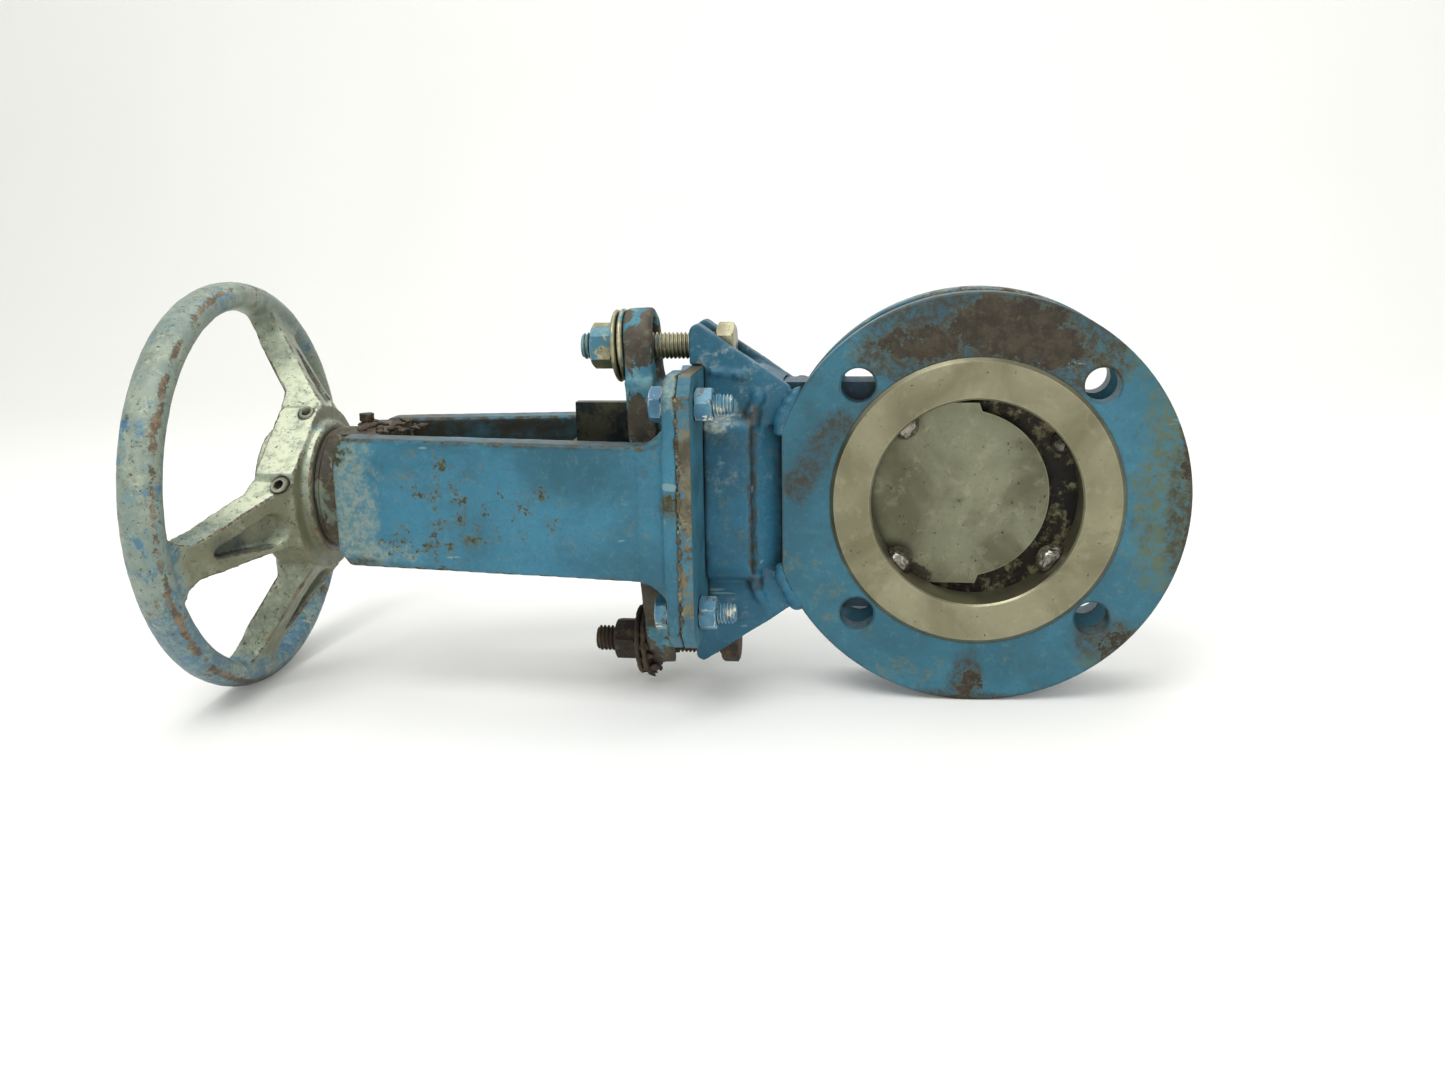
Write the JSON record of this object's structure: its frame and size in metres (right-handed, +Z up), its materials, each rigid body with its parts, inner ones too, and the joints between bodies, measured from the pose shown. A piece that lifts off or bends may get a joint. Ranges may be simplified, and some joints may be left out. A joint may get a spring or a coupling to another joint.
{
  "type": "knife gate valve",
  "caption": "Handwheel-operated knife gate valve: a flat gate slides across a flanged round bore, driven by a rising stem through a packed gland and a two-arm yoke.",
  "frame": {"origin": "centre of the bore, mid-way between the two flange faces", "axes": "+X along the stem axis away from the handwheel, +Y along the bore from the front (inlet, gate-side) face to the back (seat-side) face, +Z up as the valve lies on its side"},
  "size_m": [0.4712, 0.204, 0.204],
  "materials": {
    "blue_paint": "worn blue enamel over steel, chipped to rust",
    "blue_paint_yoke": "worn blue enamel over cast steel",
    "bare_steel": "bare machined steel, pitted and stained",
    "gate_steel": "bare rolled steel, scuffed and pitted",
    "wheel_paint": "pale grey-green paint worn over blue and brown metal",
    "zinc": "yellowed zinc plate with blue overspray",
    "rusty_steel": "dark brown rusted steel",
    "gland_iron": "cast iron, part painted blue, part bare",
    "bronze": "greased bearing bronze",
    "packing": "braided packing",
    "black_oxide": "black oxide screw",
    "stem_steel": "turned steel with grease",
    "bolt_blue": "blue painted fastener with chips"
  },
  "bodies": {
    "valve_body": {"front_flange": "blue_paint", "back_flange": "blue_paint", "front_face_ring": "bare_steel", "back_face_ring": "bare_steel", "seat_ring": "gate_steel", "gate_guides": "bare_steel", "gate_housing": "blue_paint", "stuffing_box": "blue_paint", "neck_plates": "blue_paint", "box_flange": "blue_paint", "packing_rings": "packing", "upper_gland_bracket": "blue_paint", "lower_gland_bracket": "blue_paint", "gland_follower": "gland_iron", "upper_gland_bolt": "zinc", "upper_gland_washers": "zinc", "upper_gland_nut": "zinc", "lower_gland_bolt": "rusty_steel", "lower_gland_washers": "rusty_steel", "lower_gland_nut": "rusty_steel", "front_yoke_arm": "blue_paint_yoke", "rear_yoke_arm": "blue_paint_yoke", "bearing_housing": "rusty_steel", "nose_bushing": "bronze", "inner_thrust_washer": "bronze", "outer_thrust_washer": "rusty_steel", "grease_fitting": "bronze", "yoke_bolts": "bolt_blue", "yoke_bolt_washers": "bolt_blue", "yoke_bolt_nuts": "bolt_blue"},
    "handwheel_link": {"handwheel": "wheel_paint", "stem_nut": "bronze", "set_screws": "black_oxide"},
    "gate_link": {"gate": "gate_steel", "stem": "stem_steel", "gate_bolts": "zinc", "gate_bolt_nuts": "zinc"}
  },
  "joints": [
    {"name": "handwheel_turn", "type": "hinge", "parent": "valve_body", "child": "handwheel_link", "pos_m": [-0.3656, 0, 0], "axis": [1, 0, 0], "range_deg": [-6615, 540]},
    {"name": "gate_slide", "type": "slide", "parent": "valve_body", "child": "gate_link", "axis": [1, 0, 0], "range_m": [-0.0736, 0.0061]}
  ],
  "couplings": [
    {"joint": "gate_slide", "follows": "handwheel_turn", "m_per_rad": 0.00063662}
  ]
}
